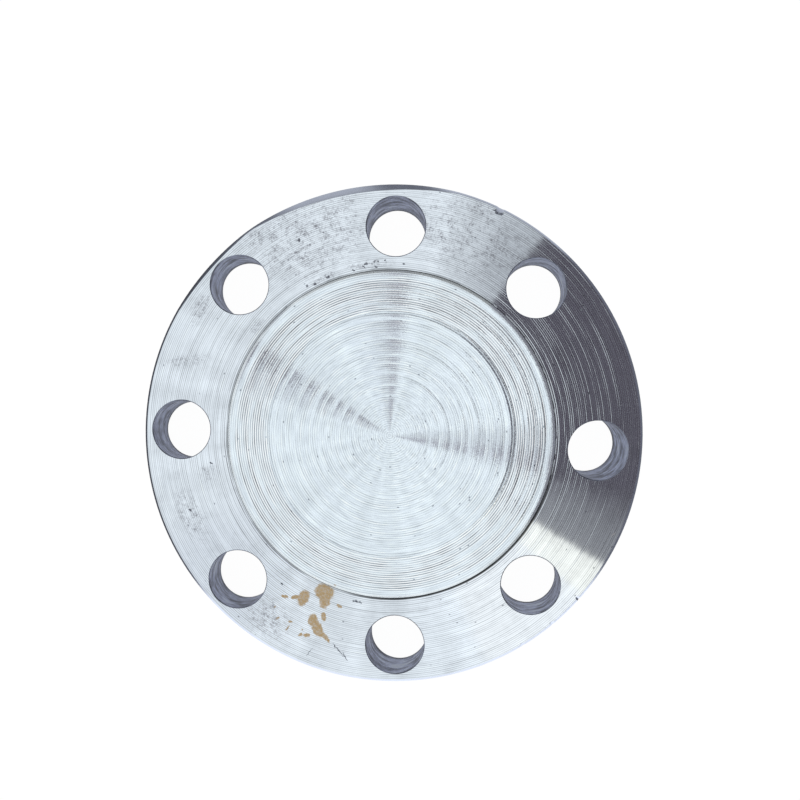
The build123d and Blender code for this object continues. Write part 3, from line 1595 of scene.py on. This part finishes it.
@dataclass(frozen=True)
class SteelFinish:
    """A machined steel surface.

    Attributes:
        name: The material's name.
        colour: What the bare steel reflects.
        roughness: Mean roughness across the tool marks.
        anisotropy: How much more the surface scatters across the tool marks than along them.
        streak_width: Width of the fine streaks that follow the tool, in metres.
        streak_run: How many streaks follow each other along a radian.
        streak_tint: How much darker or lighter the streaks are, as a share.
        streak_height: Height of the streaks in the bump, in metres.
        rise: How far its fine steps turn it upwards: what is added to its normal's Z.
        painted_shade_bands: Painted shade by height, deep in a hole, at its mouth and at the foot of a
            wall: each
        says between which two heights, in millimetres, it changes, and from and to which share.
        drilled: Whether the streaks run round the bolt holes and not round the turning axis.
        corners: Darker bands along circles: painted shade at the foot of the raised face's wall, and a
            darker stretch of the outer edge.
        tool: The turning tool's own marks, where they show.
    """

    name: str
    colour: Triple
    roughness: float
    anisotropy: float
    streak_width: float
    streak_run: float
    streak_tint: float
    streak_height: float
    rise: float = 0.0
    painted_shade_bands: tuple[tuple[float, float, float, float], ...] = ()
    drilled: bool = False
    corners: tuple[DarkenedArc, ...] = ()
    tool: ToolMarks | None = None

    def material(self) -> bpy.types.Material:
        """Builds the node material.

        The colour is the steel's, times a brightness that the streaks, the painted shade by height, the
        darker arcs and the tool's lines change, under the specks and marks. The normal is tipped by the
        tool's facets and roughened by the streaks.

        Returns:
            The material.
        """
        material = bpy.data.materials.new(self.name)
        material.use_nodes = True
        sheet = SteelSheet(material.node_tree)
        streaks = self.drill_streaks(sheet) if self.drilled else self.turned_streaks(sheet)
        swing = sheet.math("SUBTRACT", streaks, 0.5)
        brightness = sheet.math("MULTIPLY_ADD", swing, 2.0 * self.streak_tint, 1.0)
        # Painted shade: each band darkens the steel between two heights
        for bottom, top, low, high in self.painted_shade_bands:
            share = sheet.remap(sheet.height, bottom * MM, top * MM, low, high)
            brightness = sheet.product(brightness, share)
        if self.tool:
            brightness = self.tool.lined(sheet, brightness)
        # Darker bands along circles; painted shade at the foot of the raised face's wall
        for corner in self.corners:
            brightness = corner.darkened(sheet, brightness)
        colour = sheet.scaled(sheet.combine(*self.colour), brightness)
        rough: Value = self.roughness
        metallic: Value = 1.0
        normal = sheet.node("ShaderNodeNewGeometry").outputs["Normal"]
        if self.rise:
            normal = sheet.vector("ADD", normal, (0.0, 0.0, self.rise))
            normal = sheet.vector("NORMALIZE", normal)
        if self.tool:
            colour = sheet.mix(self.tool.specks(sheet), colour, rgba(PIT_COLOUR))
            colour, metallic, rough = marked(sheet, colour, rough)
            normal = self.tool.leaning(sheet, normal)
        bump = {"Strength": 1.0, "Distance": 1.0, "Normal": normal}
        bump["Height"] = sheet.product(streaks, self.streak_height)
        inputs = {
            "Base Color": colour,
            "Metallic": metallic,
            "Roughness": rough,
            "Normal": sheet.node("ShaderNodeBump", bump).outputs[0],
            "Anisotropic": self.anisotropy,
            "Tangent": sheet.outwards,
        }
        shader = sheet.node("ShaderNodeBsdfPrincipled", inputs)
        sheet.node("ShaderNodeOutputMaterial", {"Surface": shader.outputs[0]})
        return material

    def turned_streaks(self, sheet: SteelSheet) -> Socket:
        """Draws streaks that run round the turning axis, on level and steep surfaces alike."""
        across = sheet.math("ADD", sheet.radius, sheet.height)
        return sheet.rings(across, self.streak_width, self.streak_run)

    def drill_streaks(self, sheet: SteelSheet) -> Socket:
        """Draws noise drawn out round a hole: fine along Z and slow across it.

        Args:
            sheet: The material's nodes.

        Returns:
            The noise, spread over 0 to 1.
        """
        hole_size = 40.0 * MM
        x, y, _ = sheet.separate(sheet.scaled(sheet.place, self.streak_run / hole_size))
        place = sheet.combine(x, y, sheet.math("DIVIDE", sheet.height, self.streak_width))
        return sheet.remap(sheet.noise(place, detail=4.0, roughness=0.7), *DRILL_LEVELS)


FINISHES = {
    Skin.RAISED_FACE: SteelFinish(
        name="faced_steel",
        colour=(0.760, 0.855, 0.930),
        roughness=0.13,
        anisotropy=1.0,
        streak_width=0.65 * MM,
        streak_run=5.0,
        streak_tint=0.36,
        streak_height=0.001 * MM,
        tool=ToolMarks(
            feed=FACE_FEED,
            valley_dirt_and_shade=0.30,
            line_run=2.0,
            line_levels=(0.25, 0.75),
            painted_crest_highlight=0.95,
            coarse_from=45.8 * MM,
            coarse_to=58.8 * MM,
            coarse_valley_dirt_and_shade=0.88,
            scores_and_foot_shade=(
                (14.8, 0.4, 0.14),
                (19.3, 0.4, -0.08),
                (23.6, 0.4, -0.10),
                (27.3, 0.4, -0.10),
                (30.4, 0.4, -0.12),
                (36.8, 0.4, -0.14),
                (40.5, 0.4, 0.16),
                (44.4, 0.5, -0.14),
                (46.4, 0.4, 0.36),
                (47.0, 0.4, -0.20),
                (51.0, 0.4, -0.16),
                (54.6, 0.4, -0.20),
                (58.4, 0.4, 0.22),
            ),
            lean_scatter=4.5,
            lean_width=0.45 * MM,
            lean_run=80.0,
            side_scatter=4.0,
            flank_lean=-4.0,
            flank_width=0.35,
            flank_inner=0.35,
            speck_share=0.13,
            cloud_tint=0.05,
        ),
    ),
    Skin.PLATE: SteelFinish(
        name="turned_plate_steel",
        colour=(0.765, 0.842, 0.915),
        roughness=0.09,
        anisotropy=1.0,
        streak_width=0.7 * MM,
        streak_run=4.0,
        streak_tint=0.24,
        streak_height=0.0002 * MM,
        # Painted shade along the foot of the raised face's wall, darkest towards -58 degrees; and the
        # edge darker towards 172 degrees
        corners=(DarkenedArc(63.1, 0.9, -58.0, 0.90), DarkenedArc(95.2, 1.8, 172.0, 0.55)),
        tool=ToolMarks(
            feed=PLATE_FEED,
            valley_dirt_and_shade=0.45,
            line_run=1.2,
            line_levels=(0.20, 0.80),
            painted_crest_highlight=0.3,
            coarse_from=63.0 * MM,
            coarse_to=90.0 * MM,
            coarse_valley_dirt_and_shade=0.45,
            scores_and_foot_shade=(
                # Painted shade at the foot of the raised face's wall
                (63.3, 0.6, 0.50),
                (64.3, 0.4, 0.15),
                (68.6, 0.4, 0.18),
                (66.4, 0.4, -0.10),
            ),
            lean_scatter=2.0,
            lean_width=0.5 * MM,
            lean_run=3.0,
            side_scatter=0.1,
            flank_lean=13.0,
            flank_width=0.17,
            flank_inner=0.40,
            speck_share=0.11,
            cloud_tint=0.12,
        ),
    ),
    Skin.BORE: SteelFinish(
        name="drilled_steel",
        colour=(0.52, 0.57, 0.72),
        roughness=0.42,
        anisotropy=0.0,
        streak_width=3.0 * MM,
        streak_run=5.0,
        streak_tint=0.60,
        streak_height=0.03 * MM,
        # Painted shade: darker towards the back end of the hole, and a painted dark outline on the edge
        # break at its mouth
        painted_shade_bands=((0.2, 5.0, 0.35, 1.0), (22.55, 22.7, 1.0, 0.4)),
        drilled=True,
    ),
    Skin.WALL: SteelFinish(
        name="turned_step_steel",
        colour=(0.86, 0.93, 0.97),
        roughness=0.18,
        anisotropy=1.0,
        streak_width=0.4 * MM,
        streak_run=8.0,
        streak_tint=0.14,
        streak_height=0.004 * MM,
        rise=0.64,
        # Painted shade at the foot of the wall, where it meets the plate
        painted_shade_bands=((23.2, 24.3, 0.10, 1.0),),
        # Painted shade along the foot of the wall, darkest towards -58 degrees
        corners=(DarkenedArc(63.1, 1.3, -58.0, 0.90),),
    ),
    Skin.RIM: SteelFinish(
        name="turned_edge_steel",
        colour=(0.64, 0.70, 0.82),
        roughness=0.18,
        anisotropy=0.5,
        streak_width=0.4 * MM,
        streak_run=6.0,
        streak_tint=0.16,
        streak_height=0.006 * MM,
        # The edge darker towards 172 degrees
        corners=(DarkenedArc(95.2, 3.0, 172.0, 0.60),),
    ),
    Skin.BACK: SteelFinish(
        name="turned_back_steel",
        colour=(0.62, 0.68, 0.74),
        roughness=0.30,
        anisotropy=0.8,
        streak_width=0.45 * MM,
        streak_run=3.0,
        streak_tint=0.12,
        streak_height=0.010 * MM,
    ),
}


# ---------------------------------------------------------------------------
# Studio
# ---------------------------------------------------------------------------


@dataclass(frozen=True)
class Panel:
    """A part of the studio's dome that is darker or lighter than the rest. Angles are in degrees.

    Attributes:
        azimuth: Azimuth of its middle.
        half_width: Half its width in azimuth.
        top: Where it begins, counted from straight up.
        bottom: Where it ends, counted from straight up.
        colour: Its light.
        softness: How far its edges fade.
    """

    azimuth: float
    half_width: float
    top: float
    bottom: float
    colour: Triple
    softness: float

    def cover(self, sheet: NodeSheet, down: Socket, azimuth: Socket) -> Socket:
        """Gives 1 inside the panel and 0 outside it, with soft edges.

        Args:
            sheet: The world's nodes.
            down: Angle from straight up.
            azimuth: Azimuth.

        Returns:
            The share.
        """
        half = self.softness / 2
        turn = sheet.turn_from(azimuth, self.azimuth)
        beside = sheet.remap(turn, self.half_width - half, self.half_width + half, 1.0, 0.0)
        below = sheet.remap(down, self.top - half, self.top + half, 0.0, 1.0)
        above = sheet.remap(down, self.bottom - half, self.bottom + half, 1.0, 0.0)
        return sheet.product(below, above, beside)


@dataclass(frozen=True)
class FloorCard:
    """A bright card on the floor beside the flange, which only the flange sees.

    Attributes:
        azimuth: Azimuth of its middle, in degrees.
        half_width: Half its width, in degrees.
        level: How bright it is.
    """

    azimuth: float
    half_width: float
    level: float


@dataclass
class Studio:
    """A white tent with a few grey cards, a pale floor and one soft lamp.

    Attributes:
        dome_levels: How bright the tent is: angles from straight up, in degrees, and levels.
        panels: Its darker and lighter parts.
        pole: X and Y of the direction in which the panels' azimuths meet.
        fold_run: How many soft folds the tent has along a radian.
        fold_dip: How much darker a fold is, as a share.
        lamp_place: Where the lamp hangs.
        lamp_size: How wide it is.
        lamp_power: Its power in watts.
        floor_radius: How far the floor reaches.
        floor_corners: How many corners its outline has.
        floor_drop: How far it lies under the flange.
        floor_glow: How bright it is to the camera by itself.
        floor_colour: What it adds of the lamp's light to that.
        floor_reflected: What it throws back of the light to the flange.
        floor_glow_near: How bright it is to the flange under it and close to its rim.
        floor_glow_far: How bright it is to the flange farther out, between the cards.
        cards: The cards on it.
        card_fade: How far their ends fade, in degrees.
        card_start: Radius at which they begin.
        card_start_fade: How far that edge fades.
    """

    dome_levels: tuple[tuple[float, float], ...] = (
        (0.0, 0.98),
        (12.0, 1.02),
        (28.0, 1.08),
        (42.0, 1.05),
        (68.0, 1.02),
        (84.0, 0.92),
        (90.0, 0.22),
    )
    panels: tuple[Panel, ...] = (
        # The open side of the tent, which the plate shows as its dark sector
        Panel(14.0, 42.0, 50.0, 70.0, (1.08, 1.08, 1.08), 8.0),
        Panel(57.0, 9.0, 10.0, 26.0, (0.33, 0.33, 0.35), 26.0),
        Panel(11.8, 41.8, 5.0, 33.0, (0.108, 0.094, 0.114), 0.8),
        Panel(-25.0, 8.0, 5.0, 33.0, (0.185, 0.175, 0.185), 16.0),
        Panel(-50.0, 16.0, 5.0, 33.0, (1.05, 1.02, 0.99), 4.0),
        Panel(-34.0, 4.2, 5.0, 33.0, (1.15, 1.09, 0.97), 0.8),
        Panel(220.0, 14.0, 14.0, 34.0, (0.86, 0.86, 0.88), 12.0),
        Panel(105.0, 10.0, 42.0, 58.0, (0.90, 0.90, 0.92), 10.0),
        # Three narrow cards, each with a faint one beside it: the wedges on the raised face
        Panel(93.0, 8.5, 54.5, 70.0, (0.76, 0.75, 0.76), 8.0),
        Panel(88.2, 3.8, 56.5, 70.0, (0.40, 0.36, 0.40), 2.5),
        Panel(155.0, 9.0, 54.5, 70.0, (0.66, 0.64, 0.66), 8.0),
        Panel(150.0, 4.0, 56.5, 70.0, (0.26, 0.23, 0.26), 2.5),
        Panel(-3.5, 9.0, 54.5, 70.0, (0.74, 0.73, 0.74), 8.0),
        Panel(-8.6, 3.8, 56.5, 70.0, (0.42, 0.38, 0.42), 2.5),
        # Low cards, for the edges
        Panel(172.0, 42.0, 76.0, 95.0, (0.30, 0.30, 0.33), 6.0),
        Panel(11.8, 41.8, 75.0, 95.0, (0.17, 0.16, 0.19), 1.5),
    )
    pole: tuple[float, float] = (-0.0649, -0.0457)
    fold_run: float = 9.0
    fold_dip: float = 0.14
    lamp_place: Triple = (0.31, -0.54, 1.9)
    lamp_size: float = 0.7
    lamp_power: float = 0.15
    floor_radius: float = 4.0
    floor_corners: int = 64
    floor_drop: float = 0.0002
    floor_glow: float = 0.97
    floor_colour: Triple = (0.06, 0.06, 0.06)
    floor_reflected: Triple = (0.20, 0.20, 0.22)
    floor_glow_near: float = 0.30
    floor_glow_far: float = 0.02
    cards: tuple[FloorCard, ...] = (
        FloorCard(-88.0, 52.0, 1.05),
        FloorCard(66.0, 18.0, 0.50),
        FloorCard(108.0, 10.0, 0.40),
    )
    card_fade: float = 8.0
    card_start: float = 97.0 * MM
    card_start_fade: float = 2.0 * MM

    def dome(self, sheet: NodeSheet) -> Socket:
        """Gives the light of the tent in each direction.

        A direction's horizontal part, less the pole's, gives its azimuth, and the
        arcsine of its length gives the angle from straight up.

        Args:
            sheet: The world's nodes.

        Returns:
            The light's colour.
        """
        x, y, _ = sheet.separate(sheet.node("ShaderNodeTexCoord").outputs["Generated"])
        x = sheet.math("SUBTRACT", x, self.pole[0])
        y = sheet.math("SUBTRACT", y, self.pole[1])
        aside = sheet.combine(x, y, 0.0)
        reach = sheet.math("MINIMUM", sheet.vector("LENGTH", aside), 1.0)
        down = sheet.product(sheet.math("ARCSINE", reach), DEGREES)
        azimuth = sheet.azimuth(x, y)
        ramp = sheet.node("ShaderNodeValToRGB", {0: sheet.math("DIVIDE", down, HORIZON)})
        ramp.color_ramp.interpolation = "EASE"
        elements = ramp.color_ramp.elements
        while len(elements) < len(self.dome_levels):
            elements.new(1.0)
        for element, (angle, level) in zip(elements, self.dome_levels):
            element.position = angle / HORIZON
            element.color = rgba((level, level, level))
        folds = sheet.noise(sheet.scaled(sheet.vector("NORMALIZE", aside), self.fold_run))
        folds = sheet.remap(folds, *FOLD_LEVELS, 1.0 - self.fold_dip, 1.0)
        light = sheet.scaled(ramp.outputs[0], folds)
        for panel in self.panels:
            light = sheet.mix(panel.cover(sheet, down, azimuth), light, rgba(panel.colour))
        return light

    def world(self) -> None:
        """Makes the dome: white to the camera, and the lit tent to everything else."""
        world = bpy.data.worlds.new("white_tent")
        world.use_nodes = True
        bpy.context.scene.world = world
        sheet = NodeSheet(world.node_tree)
        seen = sheet.node("ShaderNodeLightPath").outputs["Is Camera Ray"]
        colour = sheet.mix(seen, self.dome(sheet), WHITE)
        background = sheet.node("ShaderNodeBackground", {"Color": colour, "Strength": 1.0})
        sheet.node("ShaderNodeOutputWorld", {"Surface": background.outputs[0]})

    def lamp(self) -> None:
        """Makes the soft lamp, high above and behind the camera, which the camera doesn't see."""
        data = bpy.data.lights.new("soft_lamp", "AREA")
        data.shape = "DISK"
        data.size = self.lamp_size
        data.energy = self.lamp_power
        lamp = placed("soft_lamp", data)
        lamp.location = self.lamp_place
        lamp.rotation_euler = Vector(self.lamp_place).to_track_quat("Z", "Y").to_euler()
        lamp.visible_camera = False

    def floor(self) -> None:
        """Makes the pale floor, which keeps the flange's shadow."""
        angle = np.linspace(0.0, FULL_TURN, self.floor_corners, endpoint=False)
        outline = polar_points(self.floor_radius, angle, -self.floor_drop)
        mesh = bpy.data.meshes.new("studio_floor")
        mesh.from_pydata(outline, [], [list(range(self.floor_corners))])
        material = bpy.data.materials.new("pale_floor")
        material.use_nodes = True
        sheet = NodeSheet(material.node_tree)
        seen = self.glowing(sheet, self.floor_glow, self.floor_colour)
        reflected = self.glowing(sheet, self.card_levels(sheet), self.floor_reflected)
        camera = sheet.node("ShaderNodeLightPath").outputs["Is Camera Ray"]
        mixed = sheet.node("ShaderNodeMixShader", {0: camera, 1: reflected, 2: seen})
        sheet.node("ShaderNodeOutputMaterial", {"Surface": mixed.outputs[0]})
        mesh.materials.append(material)
        placed("studio_floor", mesh)

    def card_levels(self, sheet: NodeSheet) -> Socket:
        """Gives how bright the floor is to the flange at each place.

        Up to card_start that is floor_glow_near. Beyond it, it is the level of the
        brightest card there, or floor_glow_far.

        Args:
            sheet: The floor's nodes.

        Returns:
            The level.
        """
        x, y, _ = sheet.separate(sheet.node("ShaderNodeTexCoord").outputs["Object"])
        azimuth = sheet.azimuth(x, y)
        level: Value = self.floor_glow_far
        half = self.card_fade / 2
        for card in self.cards:
            turn = sheet.turn_from(azimuth, card.azimuth)
            glow = sheet.remap(turn, card.half_width - half, card.half_width + half, card.level, 0.0)
            level = sheet.math("MAXIMUM", glow, level)
        radius = sheet.vector("LENGTH", sheet.combine(x, y, 0.0))
        far = sheet.remap(radius, self.card_start, self.card_start + self.card_start_fade)
        levels = {0: far, 2: self.floor_glow_near, 3: level}
        return sheet.node("ShaderNodeMix", levels, data_type="FLOAT").outputs[0]

    def glowing(self, sheet: NodeSheet, level: Value, colour: Triple) -> Socket:
        """Adds a white glow and a dull colour up to one surface.

        Args:
            sheet: The floor's nodes.
            level: How bright the glow is.
            colour: The dull colour.

        Returns:
            The shader.
        """
        glow = sheet.node("ShaderNodeEmission", {"Color": WHITE, "Strength": level})
        shaded = sheet.node("ShaderNodeBsdfDiffuse", {"Color": rgba(colour)})
        return sheet.node("ShaderNodeAddShader", {0: glow.outputs[0], 1: shaded.outputs[0]}).outputs[0]


@dataclass(frozen=True)
class Viewpoint:
    """The camera: almost straight above the flange, a little up and to the right of its axis.

    Attributes:
        eye: Where it stands.
        pitch: Its turn about X from looking straight down, in degrees.
        yaw: Its turn about Y, in degrees.
        roll: Its turn about its own line of sight, in degrees.
        lens: Focal length in millimetres.
        sensor: Width of its sensor in millimetres.
        shift_x: Sideways shift, as a share of the view's width.
        shift_y: Upward shift, as a share of the view's width.
    """

    eye: Triple = (25.0 * MM, 17.6 * MM, 404.2 * MM)
    pitch: float = -2.52
    yaw: float = 3.53
    roll: float = 1.27
    lens: float = 45.0
    sensor: float = 36.0
    shift_x: float = 0.0075
    shift_y: float = 0.04125

    def camera(self) -> None:
        """Makes the camera and sets it as the scene's."""
        data = bpy.data.cameras.new("view_from_above")
        data.sensor_width = self.sensor
        data.lens = self.lens
        data.shift_x = self.shift_x
        data.shift_y = self.shift_y
        camera = placed("view_from_above", data)
        turn = Matrix.Identity(4)
        for angle, axis in ((self.pitch, "X"), (self.yaw, "Y"), (self.roll, "Z")):
            turn = turn @ Matrix.Rotation(math.radians(angle), 4, axis)
        camera.matrix_world = Matrix.Translation(self.eye) @ turn
        bpy.context.scene.camera = camera


# ---------------------------------------------------------------------------
# The object
# ---------------------------------------------------------------------------


def bolt_holes(record: dict) -> list[BoltHole]:
    """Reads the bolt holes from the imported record, in the order of their azimuths.

    Args:
        record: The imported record.

    Returns:
        The holes.
    """
    bores = [mount for mount in record["mounts"] if mount["kind"] == "bore"]
    holes = [
        BoltHole(tuple(bore["pos_m"]), tuple(bore["axis"]), bore["dims"]["r_mm"] * MM)
        for bore in bores
    ]
    half_share = FULL_TURN / (2 * len(holes))

    def turn(hole: BoltHole) -> float:
        """Gives a hole's azimuth, counted from half a share before +X."""
        return (math.atan2(hole.middle[1], hole.middle[0]) + half_share) % FULL_TURN

    return sorted(holes, key=turn)


def main() -> None:
    """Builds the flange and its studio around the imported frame."""
    logging.basicConfig(level=logging.INFO, format="%(message)s")
    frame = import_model()
    _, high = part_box(NODE)

    Viewpoint().camera()
    studio = Studio()
    studio.world()
    studio.lamp()
    studio.floor()
    log.info("studio ready")

    form = FlangeForm(high[0], high[2], bolt_holes(frame["record"]))
    materials = {skin: finish.material() for skin, finish in FINISHES.items()}
    flange = FlangeBody(form).build(materials)
    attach(flange, "root")
    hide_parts(NODE)
    log.info("%s: %d faces", flange.name, len(flange.data.polygons))

    bpy.context.scene.view_settings.view_transform = "Standard"


if __name__ == "__main__":
    main()
